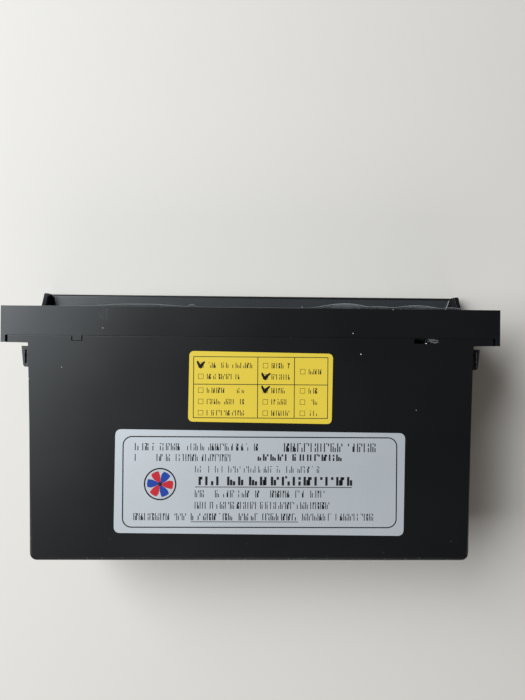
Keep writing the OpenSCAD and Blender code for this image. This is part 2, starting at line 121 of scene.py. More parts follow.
def roundedOutline(width, height, radius, steps=6):
    # counter-clockwise points of a rectangle with round corners, about the origin
    points = []
    for corner in range(4):
        sx = 1 if corner in (0, 3) else -1
        sy = 1 if corner < 2 else -1
        for step in range(steps + 1):
            a = math.pi / 2 * (corner + step / steps)
            points.append((sx * (width / 2 - radius) + radius * math.cos(a),
                           sy * (height / 2 - radius) + radius * math.sin(a)))
    return points


def arcPoints(radius, start, end, steps=12, centre=(0, 0)):
    angles = [math.radians(start + (end - start) * i / steps) for i in range(steps + 1)]
    return [(centre[0] + radius * math.cos(a), centre[1] + radius * math.sin(a)) for a in angles]


def fillShape(bm, outline, low, high, place=Matrix()):
    # a closed flat solid with this outline, from low to high along the place's own Z
    bottom = [bm.verts.new(place @ Vector((x, y, low))) for x, y in outline]
    top = [bm.verts.new(place @ Vector((x, y, high))) for x, y in outline]
    count = len(outline)
    faces = [bm.faces.new(top), bm.faces.new(bottom[::-1])]
    for i in range(count):
        k = (i + 1) % count
        faces.append(bm.faces.new((bottom[i], bottom[k], top[k], top[i])))
    return faces


def strokeShape(bm, points, width, low, high, place=Matrix(), closed=False):
    # a closed flat ribbon along a line of points
    count = len(points)
    left, right = [], []
    for i, (x, y) in enumerate(points):
        before = points[i - 1] if i or closed else points[i]
        after = points[(i + 1) % count] if i < count - 1 or closed else points[i]
        a = Vector((x - before[0], y - before[1]))
        b = Vector((after[0] - x, after[1] - y))
        a = a.normalized() if a.length > 1e-9 else b.normalized()
        b = b.normalized() if b.length > 1e-9 else a
        along = (a + b).normalized() if (a + b).length > 1e-6 else a
        side = Vector((-along.y, along.x)) * (width / 2 / max(0.5, along.dot(a)))
        left.append((x + side.x, y + side.y))
        right.append((x - side.x, y - side.y))
    if not closed:
        return fillShape(bm, right + left[::-1], low, high, place)
    rings = [[bm.verts.new(place @ Vector((x, y, z))) for x, y in ring]
             for ring, z in ((left, low), (left, high), (right, high), (right, low))]
    faces = []
    for j in range(4):
        for i in range(count):
            k = (i + 1) % count
            a, b = rings[j], rings[(j + 1) % 4]
            faces.append(bm.faces.new((a[i], b[i], b[k], a[k])))
    return faces


def facesOut(bm):
    bmesh.ops.recalc_face_normals(bm, faces=bm.faces)


# camera and light: one large window to the label's left, a weak fill behind, and a dim room
view = {
    "lens": 27,            # mm on a 36 mm sensor
    "height": 0.21002,     # m, above the label face
    "aim": (0.1, 2.36),    # mm: across, and behind the rear of the bezel's ears
    "tilt": 1.112,         # degrees, towards -X
    "roll": 0.49,          # degrees
}
studio = {
    "lightAim": (0, 0, 0.03),      # m
    "windowPower": 37, "windowSize": (1.4, 0.9), "windowPlace": (0.96, -0.42, 1.0),
    "windowColour": (0.9, 0.965, 1.0),
    "fillPower": 3.2, "fillSize": (1.1, 0.5), "fillPlace": (0.1, 1.15, 0.95),
    "fillColour": (1.0, 0.97, 0.93),
    "room": 0.06, "roomColour": (1.0, 0.95, 0.9), "wallColour": (0.6, 0.59, 0.575),
    "floorColour": (0.67, 0.625, 0.58), "floorRoughness": 0.75,
    "floorDrop": 0.0002, "floorSize": 1.0,    # m
}


def makeCamera():
    top = cadBox[1][2]
    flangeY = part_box("bezel")[1][1]
    place = Vector((view["aim"][0] * mm, flangeY + view["aim"][1] * mm, top + view["height"]))
    roll = math.radians(view["roll"])
    tilt = math.radians(view["tilt"])
    up = Vector((math.sin(roll), -math.cos(roll), 0))
    back = Matrix.Rotation(tilt, 3, "Y") @ Vector((0, 0, 1))
    right = up.cross(back).normalized()
    up = back.cross(right).normalized()
    data = bpy.data.cameras.new("camera")
    data.lens = view["lens"]
    data.sensor_width = 36
    data.clip_start = 0.01
    camera = newObject("camera", data)
    camera.matrix_world = Matrix.Translation(place) @ Matrix((right, up, back)).transposed().to_4x4()
    scene.camera = camera


def areaLight(name, place, target, size, power, colour):
    data = bpy.data.lights.new(name, "AREA")
    data.shape = "RECTANGLE"
    data.size, data.size_y = size
    data.energy = power
    data.color = colour
    light = newObject(name, data)
    light.location = place
    light.rotation_euler = (Vector(target) - Vector(place)).to_track_quat("-Z", "Y").to_euler()


def makeStudio():
    for name in ("window", "fill"):
        areaLight(name, studio[name + "Place"], studio["lightAim"], studio[name + "Size"],
                  studio[name + "Power"], studio[name + "Colour"])
    world = bpy.data.worlds.new("room")
    world.use_nodes = True
    tree = world.node_tree
    dim = tree.nodes["Background"]
    dim.inputs["Color"].default_value = (*studio["roomColour"], 1)
    dim.inputs["Strength"].default_value = studio["room"]
    # past the floor the view shows a pale wall, which lights nothing
    wall = addNode(tree, "ShaderNodeBackground", {"Color": (*studio["wallColour"], 1)})
    seen = addNode(tree, "ShaderNodeLightPath").outputs["Is Camera Ray"]
    both = addNode(tree, "ShaderNodeMixShader", {0: seen, 1: dim.outputs[0], 2: wall.outputs[0]})
    tree.links.new(both.outputs[0], tree.nodes["World Output"].inputs["Surface"])
    scene.world = world
    scene.view_settings.view_transform = "Standard"

    bm = bmesh.new()
    bmesh.ops.create_grid(bm, x_segments=1, y_segments=1, size=studio["floorSize"])
    bmesh.ops.translate(bm, verts=bm.verts, vec=(0, 0, cadBox[0][2] - studio["floorDrop"]))
    mesh = bpy.data.meshes.new("floor")
    bm.to_mesh(mesh)
    bm.free()
    floor = newObject("floor", mesh)
    material = bpy.data.materials.new("floorPaper")
    material.use_nodes = True
    shader = material.node_tree.nodes["Principled BSDF"]
    shader.inputs["Base Color"].default_value = (*studio["floorColour"], 1)
    shader.inputs["Roughness"].default_value = studio["floorRoughness"]
    mesh.materials.append(material)


makeCamera()
makeStudio()
report("camera, light and floor")


def nodeGroup(name, kind, inputs, outputs, outKind):
    # an empty node group with named inputs and outputs; an input is a number, or its kind and value
    tree = bpy.data.node_groups.new(name, kind)
    for label, entry in inputs.items():
        sort, value = entry if isinstance(entry, tuple) else ("Float", entry)
        socket = tree.interface.new_socket(label, in_out="INPUT", socket_type="NodeSocket" + sort)
        if value is not None:
            socket.default_value = value
    for label in outputs:
        tree.interface.new_socket(label, in_out="OUTPUT", socket_type="NodeSocket" + outKind)
    return tree, tree.nodes.new("NodeGroupInput").outputs, tree.nodes.new("NodeGroupOutput").inputs


def shaderGroup(name, inputs, outputs=("Mask",)):
    # a shader group, and the place on the piece that its patterns go by
    group = nodeGroup(name, "ShaderNodeTree", inputs, outputs, "Float")
    return *group, addNode(group[0], "ShaderNodeTexCoord").outputs["Object"]


def grainGroup():
    # spark-eroded mould texture: fine bumps, and slow waves of the moulding
    tree, given, out, place = shaderGroup("mouldGrain", {"Scale": 2500, "Waves": 25, "Sink": 14},
                                          ("Height", "Cloud", "Sink"))
    pits = addNode(tree, "ShaderNodeTexVoronoi", {"Vector": place, "Scale": given["Scale"]},
                   feature="SMOOTH_F1")
    fine = noise(tree, place, given["Scale"])
    tree.links.new(calc(tree, "MULTIPLY_ADD", pits.outputs["Distance"], 0.6, fine), out["Height"])
    tree.links.new(noise(tree, place, given["Waves"], 3.0), out["Cloud"])
    tree.links.new(noise(tree, place, given["Sink"], 1.0), out["Sink"])
    return tree


def speckGroup():
    # dust: a random few cells of a fine pattern hold one small speck each
    tree, given, out, place = shaderGroup("dustSpecks", {
        "Scale": 620, "Amount": 0.1, "Size": 0.13, "Drift": 22})
    cells = addNode(tree, "ShaderNodeTexVoronoi", {"Vector": place, "Scale": given["Scale"]})
    chance = addNode(tree, "ShaderNodeSeparateColor", {0: cells.outputs["Color"]})
    share = times(tree, given["Amount"], times(tree, noise(tree, place, given["Drift"]), 2.0))
    chosen = calc(tree, "LESS_THAN", chance.outputs[0], share)
    radius = times(tree, given["Size"], calc(tree, "ADD", chance.outputs[1], 0.3))
    dot = calc(tree, "LESS_THAN", cells.outputs["Distance"], radius)
    strength = times(tree, chosen, calc(tree, "MULTIPLY_ADD", chance.outputs[2], 0.6, 0.4))
    tree.links.new(times(tree, dot, strength), out["Mask"])
    return tree


def scratchGroup():
    # hair scratches: thin bands of stretched noise in two directions, broken up along their length
    tree, given, out, place = shaderGroup("hairScratches", {"Scale": 60, "Amount": 0.5, "Turn": 0.5})
    masks = []
    # each direction: its turn in radians, how fast its lines bend, and how many times finer they are
    for turn, bends, finer in ((0.35, 9.0, 30.0), (-0.9, 13.0, 39.0)):
        angle = addNode(tree, "ShaderNodeCombineXYZ", {2: calc(tree, "ADD", given["Turn"], turn)})
        warp = addNode(tree, "ShaderNodeVectorMath", {
            0: noise(tree, place, bends, output="Color"), "Scale": 0.02}, operation="SCALE")
        moved = addNode(tree, "ShaderNodeVectorMath", {0: place, 1: warp.outputs[0]}, operation="ADD")
        turned = addNode(tree, "ShaderNodeMapping", {
            "Vector": moved.outputs[0], "Rotation": angle.outputs[0], "Scale": (1, 0.03, 0.03)})
        lines = noise(tree, turned.outputs[0], times(tree, given["Scale"], finer), 1.0)
        near = calc(tree, "ABSOLUTE", calc(tree, "SUBTRACT", lines, 0.5))
        thin = calc(tree, "SUBTRACT", 1.0, calc(tree, "DIVIDE", near, 0.006), clamp=True)
        level = calc(tree, "SUBTRACT", 0.78, times(tree, given["Amount"], 0.2))
        part = calc(tree, "GREATER_THAN", noise(tree, place, given["Scale"]), level)
        masks.append(times(tree, thin, part))
    tree.links.new(calc(tree, "ADD", masks[0], masks[1], clamp=True), out["Mask"])
    return tree


def wearGroup():
    # edge wear: the piece's own edge attribute, broken up by noise
    tree, given, out, place = shaderGroup("edgeWear", {"Scale": 700, "Amount": 0.5})
    edge = addNode(tree, "ShaderNodeAttribute", attribute_name="edge", attribute_type="GEOMETRY")
    chips = noise(tree, place, given["Scale"], 4.0, Roughness=0.65)
    level = calc(tree, "SUBTRACT", 0.85, times(tree, given["Amount"], 0.4))
    worn = addNode(tree, "ShaderNodeMapRange", {"Value": chips, "From Min": level,
                                                "From Max": calc(tree, "ADD", level, 0.12)})
    tree.links.new(times(tree, edge.outputs["Fac"], worn.outputs[0]), out["Mask"])
    return tree


groups = {"grain": grainGroup(), "specks": speckGroup(), "scratches": scratchGroup(), "wear": wearGroup()}


def useGroup(tree, name, **values):
    return addNode(tree, "ShaderNodeGroup", {key.capitalize(): v for key, v in values.items()},
                   node_tree=groups[name]).outputs


def blendColour(tree, factor, a, b):
    a, b = (c if isinstance(c, bpy.types.NodeSocket) else (*c, 1) for c in (a, b))
    return addNode(tree, "ShaderNodeMix", {0: factor, 6: a, 7: b}, data_type="RGBA").outputs[2]


finishShares = {
    # how strongly each effect shows in every finish
    "roughDrift": 0.12, "scratchTone": 0.35, "scratchRough": 0.15, "wearTone": 0.7, "dustRough": 0.4,
    "grainDepth": 0.02,      # mm
}


def plastic(name, colour, roughness=0.45, cloud=0.15, grain=(2600, 0.2), dust=0.0,
            dustColour=(0.5, 0.5, 0.48), scratches=0.0, wear=0.0, wearColour=(0.25, 0.26, 0.27),
            metallic=0.0, coat=0.0, alpha=1.0, specular=0.5, transmission=0.0, sink=0.0, haze=False):
    # a moulded, printed or coated finish: its colour drifts a little, and it can hold dust, scratches and
    # wear; grain is its scale and strength, sink the depth of the moulding's slow dents in mm
    material = bpy.data.materials.new(name)
    material.use_nodes = True
    tree = material.node_tree
    shader = tree.nodes["Principled BSDF"]
    moulding = useGroup(tree, "grain", scale=grain[0])
    darker = tuple(c * (1 - cloud) for c in colour)
    lighter = tuple(min(1, c * (1 + cloud)) for c in colour)
    tone = blendColour(tree, moulding["Cloud"], darker, lighter)
    drift = finishShares["roughDrift"]
    rough = calc(tree, "MULTIPLY_ADD", moulding["Cloud"], drift, roughness - drift / 2)
    if scratches:
        lines = useGroup(tree, "scratches", amount=scratches)["Mask"]
        tone = blendColour(tree, times(tree, lines, finishShares["scratchTone"]), tone, wearColour)
        rough = calc(tree, "ADD", rough, times(tree, lines, finishShares["scratchRough"]))
    if wear:
        worn = useGroup(tree, "wear", amount=wear)["Mask"]
        tone = blendColour(tree, times(tree, worn, finishShares["wearTone"]), tone, wearColour)
    if dust:
        specks = useGroup(tree, "specks", amount=dust)["Mask"]
        tone = blendColour(tree, specks, tone, dustColour)
        dry = times(tree, specks, finishShares["dustRough"])
        rough = calc(tree, "ADD", rough, dry, clamp=True)
    tree.links.new(tone, shader.inputs["Base Color"])
    tree.links.new(rough, shader.inputs["Roughness"])
    if grain[1]:
        bump = addNode(tree, "ShaderNodeBump", {"Height": moulding["Height"], "Strength": grain[1],
                                                "Distance": finishShares["grainDepth"] * mm})
        tree.links.new(bump.outputs[0], shader.inputs["Normal"])
        if sink:
            dents = addNode(tree, "ShaderNodeBump", {"Height": moulding["Sink"], "Strength": 1.0,
                                                     "Distance": sink * mm})
            tree.links.new(dents.outputs[0], bump.inputs["Normal"])
    # the film's alpha from its per-vertex attribute: partly haze of the creased film, partly a painted
    # reflection where the clear sheet is seen edge-on
    if haze:
        cloudy = addNode(tree, "ShaderNodeAttribute", attribute_name="haze", attribute_type="GEOMETRY")
        tree.links.new(cloudy.outputs["Fac"], shader.inputs["Alpha"])
    for socket, value in (("Metallic", metallic), ("Coat Weight", coat), ("Specular IOR Level", specular),
                          ("Alpha", alpha), ("Transmission Weight", transmission)):
        shader.inputs[socket].default_value = value
    return material


finishes = {
    "case_plastic": plastic("casePlastic", (0.003, 0.0034, 0.0043), 0.38, dust=0.016, scratches=0.25,
                            wear=0.6, sink=0.25, specular=0.47),
    "bezel_plastic": plastic("bezelPlastic", (0.0034, 0.0039, 0.005), 0.34, dust=0.014, scratches=0.3,
                             wear=0.8, sink=0.15, specular=0.56),
    "fascia_plastic": plastic("fasciaPlastic", (0.006, 0.0065, 0.0075), 0.5, grain=(1800, 0.4), dust=0.008),
    "window_tint": plastic("windowTint", (0.006, 0.007, 0.009), 0.1, grain=(2000, 0), dust=0.008, coat=0.5,
                           alpha=0.3),
    "display_glass": plastic("displayGlass", (0.3, 0.36, 0.28), 0.2, cloud=0.05, grain=(900, 0)),
    "white_plastic": plastic("whitePlastic", (0.78, 0.78, 0.75), 0.5, cloud=0.03),
    "circuit_board": plastic("circuitBoard", (0.015, 0.09, 0.035), 0.35, cloud=0.3, grain=(1200, 0.2),
                             coat=0.3),
    "switch_plastic": plastic("switchPlastic", (0.02, 0.02, 0.022), 0.5),
    "lamp_plastic": plastic("lampPlastic", (0.72, 0.8, 0.7), 0.15, cloud=0.05, grain=(900, 0),
                            transmission=0.6),
    "screw_steel": plastic("screwSteel", (0.56, 0.56, 0.57), 0.32, cloud=0.1, metallic=1.0,
                           grain=(4000, 0.2)),
    "chip_epoxy": plastic("chipEpoxy", (0.018, 0.018, 0.02), 0.6, grain=(3500, 0.3)),
    "relay_plastic": plastic("relayPlastic", (0.02, 0.07, 0.25), 0.3, cloud=0.08),
    "capacitor_sleeve": plastic("capacitorSleeve", (0.02, 0.02, 0.07), 0.25, cloud=0.1, coat=0.3),
    "heat_sink_metal": plastic("heatSinkMetal", (0.6, 0.61, 0.63), 0.38, cloud=0.08, metallic=1.0,
                               scratches=0.5, wearColour=(0.4, 0.4, 0.4)),
    "connector_nylon": plastic("connectorNylon", (0.6, 0.58, 0.5), 0.42, cloud=0.06, grain=(1500, 0.2),
                               dust=0.006, dustColour=(0.2, 0.19, 0.17)),
    "contact_metal": plastic("contactMetal", (0.75, 0.66, 0.42), 0.28, cloud=0.12, metallic=1.0,
                             grain=(5000, 0.2)),
    "clip_plastic": plastic("clipPlastic", (0.006, 0.0065, 0.0075), 0.4, dust=0.008, scratches=0.5, wear=0.9),
    "button_plastic": plastic("buttonPlastic", (0.007, 0.007, 0.008), 0.48, grain=(2400, 0.3), dust=0.006,
                              wear=0.3),
    "name_label_film": plastic("nameLabelFilm", (0.57, 0.59, 0.62), 0.48, cloud=0.05, grain=(600, 0.15),
                               metallic=0.42, coat=0.2, scratches=0.4, wearColour=(0.35, 0.36, 0.38),
                               dust=0.004, dustColour=(0.2, 0.2, 0.2)),
    "option_label_film": plastic("optionLabelFilm", (0.72, 0.53, 0.05), 0.42, cloud=0.04, grain=(700, 0.2),
                                 scratches=0.3, wearColour=(0.45, 0.32, 0.05), dust=0.004,
                                 dustColour=(0.3, 0.22, 0.08)),
    "clear_film": plastic("clearFilm", (0.78, 0.82, 0.85), 0.12, cloud=0.05, grain=(250, 0), coat=0.4,
                          haze=True),
}
printGrain = (3000, 0.1)
inkBlack = plastic("inkBlack", (0.012, 0.012, 0.015), 0.6, cloud=0.25, grain=printGrain, specular=0.2)
inkRed = plastic("inkRed", (0.5, 0.02, 0.03), 0.6, cloud=0.12, grain=printGrain, specular=0.2)
inkBlue = plastic("inkBlue", (0.015, 0.05, 0.3), 0.6, cloud=0.12, grain=printGrain, specular=0.2)
inkGrey = plastic("inkGrey", (0.22, 0.23, 0.24), 0.45, cloud=0.1, grain=printGrain)
inkWhite = plastic("inkWhite", (0.72, 0.73, 0.72), 0.5, cloud=0.06, grain=(3000, 0.2))
segmentInk = plastic("segmentInk", (0.06, 0.08, 0.065), 0.2, cloud=0.05, grain=(900, 0))
markerInk = plastic("markerInk", (0.008, 0.008, 0.01), 0.3, cloud=0.3, grain=(1200, 0.1))
# pale grey of the latch tongue's streaks: partly rubbed plastic, partly a painted highlight
rubbedHighlightPlastic = plastic("rubbedHighlightPlastic", (0.1, 0.105, 0.11), 0.65, cloud=0.4, grain=(2200, 0.3))

for entry in frame["record"]["subparts"]:
    node = nodes[entry["node"]]
    node.data.materials.clear()
    node.data.materials.append(finishes[entry["material_slot"]])
report("finishes")


# shells: welded copies of the moulded and folded pieces with their edges rounded
shells = {
    # node: name, slot, body, general edge radius mm
    "case_shell": ("caseShell", "case_plastic", housing, 0.3),
    "bezel": ("bezelFrame", "bezel_plastic", housing, 0.6),
    "fascia_panel": ("fasciaPanel", "fascia_plastic", housing, 0.25),
    "main_connector": ("mainConnector", "connector_nylon", housing, 0.25),
    "aux_connector": ("auxConnector", "connector_nylon", housing, 0.25),
    "left_clip": ("leftClip", "clip_plastic", "left_clip", 0.2),
    "right_clip": ("rightClip", "clip_plastic", "right_clip", 0.2),
    "display_frame": ("displayFrame", "white_plastic", housing, 0.2),
    "relays": ("relayBoxes", "relay_plastic", housing, 0.5),
    "buzzer": ("buzzerCan", "switch_plastic", housing, 0.3),
    "capacitors": ("capacitorCans", "capacitor_sleeve", housing, 0.6),
    "heat_sink": ("heatSinkFins", "heat_sink_metal", housing, 0.15),
}
shellRounding = {
    "labelEdge": 1.6, "labelSteps": 6, "seam": 0.4, "seamSteps": 2, "edgeSteps": 3,       # mm
    "sharpFrom": 30, "edgeFrom": 50, "flatWithin": 0.5,      # degrees
    "weld": 0.002, "near": 0.01,                             # mm
    "faceWeight": 80,                                        # how far large faces rule the shading
}


def isSharp(edge, angle=shellRounding["sharpFrom"]):
    return (len(edge.link_faces) == 2 and edge.is_convex
            and edge.calc_face_angle(0) > math.radians(angle))


def roundEdges(bm, edges, radius, segments, mask):
    # bevels the edges and marks the new faces as worn
    if not edges:
        return
    made = bmesh.ops.bevel(bm, geom=edges, offset=radius, segments=segments, profile=0.5,
                           affect="EDGES", clamp_overlap=True, offset_type="OFFSET")
    for face in made["faces"]:
        face[mask] = 1.0


def weldedCopy(node):
    bm = bmesh.new()
    bm.from_mesh(nodes[node].data)
    bmesh.ops.remove_doubles(bm, verts=bm.verts, dist=shellRounding["weld"] * mm)
    bmesh.ops.dissolve_limit(bm, angle_limit=math.radians(shellRounding["flatWithin"]), verts=bm.verts,
                             edges=bm.edges, delimit={"NORMAL"})
    return bm


def makeShell(node):
    name, slot, body, radius = shells[node]
    bm = weldedCopy(node)
    mask = bm.faces.layers.float.new("edge")
    low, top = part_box("case_shell")[0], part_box("case_shell")[1][2]
    near = shellRounding["near"] * mm

    def topEdges(fits):
        # the sharp edges in the label face's plane whose ends all fit
        return [e for e in bm.edges
                if isSharp(e) and all(v.co.z > top - near and fits(v.co.y) for v in e.verts)]

    if node in ("case_shell", "bezel"):
        # the groove where the bezel meets the case
        seam = topEdges(lambda y: abs(y - low[1]) < near)
        roundEdges(bm, seam, shellRounding["seam"] * mm, shellRounding["seamSteps"], mask)
    if node == "case_shell":
        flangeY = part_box("bezel")[1][1]
        behind = topEdges(lambda y: y > flangeY - near)
        label = [e for e in behind if max(v.co.y for v in e.verts) > flangeY + mm]
        roundEdges(bm, label, shellRounding["labelEdge"] * mm, shellRounding["labelSteps"], mask)
    rest = [e for e in bm.edges
            if isSharp(e, shellRounding["edgeFrom"]) and all(f[mask] < 0.5 for f in e.link_faces)]
    roundEdges(bm, rest, radius * mm, shellRounding["edgeSteps"], mask)
    piece = newPiece(name, bm, body, [finishes[slot]])
    normals = piece.modifiers.new("evenNormals", "WEIGHTED_NORMAL")
    normals.keep_sharp = True
    normals.weight = shellRounding["faceWeight"]
    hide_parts(node)


for node in shells:
    makeShell(node)

latchScuffHighlight = {
    # pale streaks on the latch tongue, partly rubbing and partly painted highlight: from and to across, how
    # far behind the seam, and width, mm
    "streaks": [(-70.6, -73.4, 0.4, 0.2), (-71.2, -74.8, 0.75, 0.3), (-70.3, -72.2, 1.15, 0.16),
                (-71.6, -74.9, 1.45, 0.34), (-72.6, -74.4, 1.8, 0.18)],
    "slant": 0.12, "height": 0.012,
}


def makeLatchScuffHighlight():
    # pale streaks on the bezel's latch tongue: partly rubbing where it has been pressed, partly a painted
    # highlight where the tongue catches the window light
    seamY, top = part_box("case_shell")[0][1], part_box("bezel")[1][2]
    place = Matrix.Translation((0, seamY, top))
    bm = bmesh.new()
    for start, end, back, width in latchScuffHighlight["streaks"]:
        middle = ((start + end) / 2 * mm, (back + latchScuffHighlight["slant"]) * mm)
        strokeShape(bm, [(start * mm, back * mm), middle, (end * mm, back * mm)], width * mm, 0,
                    latchScuffHighlight["height"] * mm, place)
    facesOut(bm)
    newPiece("latchScuffHighlight", bm, housing, [rubbedHighlightPlastic])


makeLatchScuffHighlight()
report("shells")


def geometryTree(name, inputs):
    # a Geometry Nodes tree with a geometry in and out, and named inputs
    inputs = {"Geometry": ("Geometry", None), **inputs}
    return nodeGroup(name, "GeometryNodeTree", inputs, ("Geometry",), "Geometry")


def runTree(tree, values):
    # evaluates a tree on an empty mesh with these input values, and returns the plain mesh
    start = bpy.data.meshes.new("start")
    holder = newObject("holder", start)
    modifier = holder.modifiers.new("nodes", "NODES")
    modifier.node_group = tree
    for item in tree.interface.items_tree:
        if item.in_out == "INPUT" and item.name in values:
            modifier[item.identifier] = values[item.name]
    holder.update_tag()
    graph = bpy.context.evaluated_depsgraph_get()
    mesh = bpy.data.meshes.new_from_object(holder.evaluated_get(graph))
    bpy.data.objects.remove(holder)
    bpy.data.meshes.remove(start)
    return mesh


def endTree(tree, given, out, geometry):
    real = addNode(tree, "GeometryNodeRealizeInstances", {0: geometry})
    inked = addNode(tree, "GeometryNodeSetMaterial", {
        "Geometry": real.outputs[0], "Material": given["Material"]})
    tree.links.new(inked.outputs[0], out["Geometry"])


def sizeVector(tree, x, y, z):
    return addNode(tree, "ShaderNodeCombineXYZ", {0: x, 1: y, 2: z}).outputs[0]


def copiesOn(tree, points, geometry, **more):
    # one copy of the geometry on each point
    return addNode(tree, "GeometryNodeInstanceOnPoints", {
        "Points": points, "Instance": geometry, **more}).outputs[0]


def moved(tree, geometry, x, y, z):
    return addNode(tree, "GeometryNodeTransform", {
        "Geometry": geometry, "Translation": sizeVector(tree, x, y, z)}).outputs[0]


markBars = {
    # name: how often it is there, its middle across and up, and its length across and up (0 is one stroke)
    "tall": (0.8, -0.45, 0.0, 0.0, 0.95), "short": (0.6, 0.0, -0.17, 0.0, 0.6),
    "low": (0.45, 0.45, -0.25, 0.0, 0.45), "raised": (0.45, 0.45, 0.3, 0.0, 0.3),
    "cap": (0.3, 0.05, 0.42, 0.3, 0.0), "long": (0.3, 0.22, 0.0, 0.0, 0.9),
}


def markRowTree():
    # a row of plain printed ticks that stand in for print: short separate bars and dashes, picked at random
    # in each cell, with some cells left out as spaces
    tree, given, out = geometryTree("markRow", {
        "Count": ("Int", 20), "Pitch": 2 * mm, "Width": 1.4 * mm, "Height": 2 * mm, "Stroke": 0.25 * mm,
        "Depth": 0.03 * mm, "Spaces": 0.15, "Seed": ("Int", 1), "Material": ("Material", None)})
    row = addNode(tree, "GeometryNodeMeshLine", {
        "Count": given["Count"],
        "Start Location": sizeVector(tree, times(tree, given["Width"], 0.5), 0.0, 0.0),
        "Offset": sizeVector(tree, given["Pitch"], 0.0, 0.0)}, mode="OFFSET")
    gaps = addNode(tree, "FunctionNodeRandomValue", {"Probability": given["Spaces"], "Seed": given["Seed"]},
                   data_type="BOOLEAN")
    # a row's first cell is never a space
    index = addNode(tree, "GeometryNodeInputIndex").outputs[0]
    left = times(tree, gaps.outputs[3], calc(tree, "GREATER_THAN", index, 0.5))
    kept = addNode(tree, "GeometryNodeDeleteGeometry", {"Geometry": row.outputs[0], "Selection": left},
                   domain="POINT")
    join = addNode(tree, "GeometryNodeJoinGeometry")
    for number, (chance, x, y, across, up) in enumerate(markBars.values()):
        seed = calc(tree, "ADD", given["Seed"], 7.0 * (number + 1))
        pick = addNode(tree, "FunctionNodeRandomValue", {"Probability": chance, "Seed": seed},
                       data_type="BOOLEAN")
        wide = times(tree, given["Width"], across) if across else given["Stroke"]
        tall = times(tree, given["Height"], up) if up else given["Stroke"]
        bar = addNode(tree, "GeometryNodeMeshCube", {"Size": sizeVector(tree, wide, tall, given["Depth"])})
        placed = moved(tree, bar.outputs[0], times(tree, given["Width"], x), times(tree, given["Height"], y),
                       times(tree, given["Depth"], 0.5))
        tree.links.new(copiesOn(tree, kept.outputs[0], placed, Selection=pick.outputs[3]), join.inputs[0])
    endTree(tree, given, out, join.outputs[0])
    return tree


def tickBoxTree():
    # a column of square outlines
    tree, given, out = geometryTree("tickBoxes", {
        "Count": ("Int", 3), "Pitch": 4.5 * mm, "Side": 2 * mm, "Stroke": 0.2 * mm, "Depth": 0.03 * mm,
        "Material": ("Material", None)})
    column = addNode(tree, "GeometryNodeMeshLine", {
        "Count": given["Count"], "Offset": sizeVector(tree, 0.0, times(tree, given["Pitch"], -1.0), 0.0)},
        mode="OFFSET")
    square, section = (
        addNode(tree, "GeometryNodeCurvePrimitiveQuadrilateral", {"Width": given[wide], "Height": given[tall]})
        for wide, tall in (("Side", "Side"), ("Stroke", "Depth")))
    ring = addNode(tree, "GeometryNodeCurveToMesh", {
        "Curve": square.outputs[0], "Profile Curve": section.outputs[0]})
    raised = moved(tree, ring.outputs[0], 0.0, 0.0, times(tree, given["Depth"], 0.5))
    endTree(tree, given, out, copiesOn(tree, column.outputs[0], raised))
    return tree


markRow = markRowTree()
tickBoxes = tickBoxTree()
inkDepth = 0.03 * mm
markGap = 0.9                            # from one cell's share of a row to the next, in strokes

nameLabel = {
    "size": (116, 41.3),                 # mm
    "frame": (3.3, 2.4, 3.2, 2.8),       # left, top, right and bottom margins
    "frameRadius": 3.5, "frameLine": 0.45,
    # rows: left, top, length, height, stroke, cell width as a share of height, spaces
    "rows": [
        (8.0, 4.9, 11.0, 3.1, 0.34, 0.86, 0.0), (20.4, 4.9, 37.0, 3.0, 0.30, 0.56, 0.1),
        (67.5, 4.6, 38.3, 3.7, 0.42, 0.62, 0.08),
        (8.0, 9.2, 11.0, 3.0, 0.34, 0.86, 0.3), (20.4, 9.2, 26.5, 3.0, 0.30, 0.56, 0.12),
        (56.3, 9.1, 35.6, 2.8, 0.62, 0.85, 0.12),
        (32.0, 13.9, 34.0, 2.8, 0.26, 0.86, 0.12), (68.5, 13.9, 12.3, 2.8, 0.28, 0.6, 0.0),
        (32.0, 18.1, 62.8, 3.7, 0.95, 0.95, 0.09),
        (32.0, 23.6, 51.5, 3.0, 0.30, 0.58, 0.14), (32.0, 28.2, 54.0, 3.0, 0.30, 0.58, 0.14),
        (7.7, 32.8, 20.5, 3.0, 0.30, 0.62, 0.05), (30.5, 32.8, 42.8, 3.0, 0.36, 0.6, 0.0),
        (75.0, 32.8, 28.5, 3.0, 0.30, 0.6, 0.1)],
    "underlines": [(32.0, 22.4, 62.8, 0.28), (30.5, 36.3, 42.8, 0.25)],
    "emblem": (18.1, 21.3, 6.2),         # middle and radius
    "emblemLine": 0.55, "emblemReach": 5.2, "hubRadius": 0.8, "firstSeed": 11, "seedStep": 5,
}
optionLabel = {
    "size": (57.5, 28.2),
    "frame": (1.9, 1.9, 26.3, 55.6),     # left, top, bottom and right
    "columns": (27.5, 42.2), "divider": 12.9, "line": 0.28,
    # tick boxes and their rows: across, first row's middle down, count, pitch
    "boxes": [(4.8, 5.3, 2, 4.5), (4.8, 15.3, 3, 4.5), (30.6, 5.3, 2, 4.5), (30.6, 15.3, 3, 4.5),
              (45.5, 7.6, 1, 4.5), (45.5, 15.3, 3, 4.5)],
    "boxSide": 1.9, "boxLine": 0.2,
    "rowLengths": [(19.0, 13.4), (14.6, 14.6, 15.6), (7.7, 7.7), (7.9, 7.9, 6.9), (5.4,), (3.6, 3.7, 3.3)],
    "rowHeight": 2.3, "rowStroke": 0.27, "rowStart": 2.5, "rowShare": 0.72, "rowSpaces": 0.1,
    "firstSeed": 300, "seedStep": 13,
    # pen ticks: middle, and lean of the long stroke
    "ticks": [(4.8, 5.3, -0.06), (30.6, 9.8, 0.1), (30.6, 15.0, 0.04)], "tickSize": 3.1, "tickRise": 0.2,
}


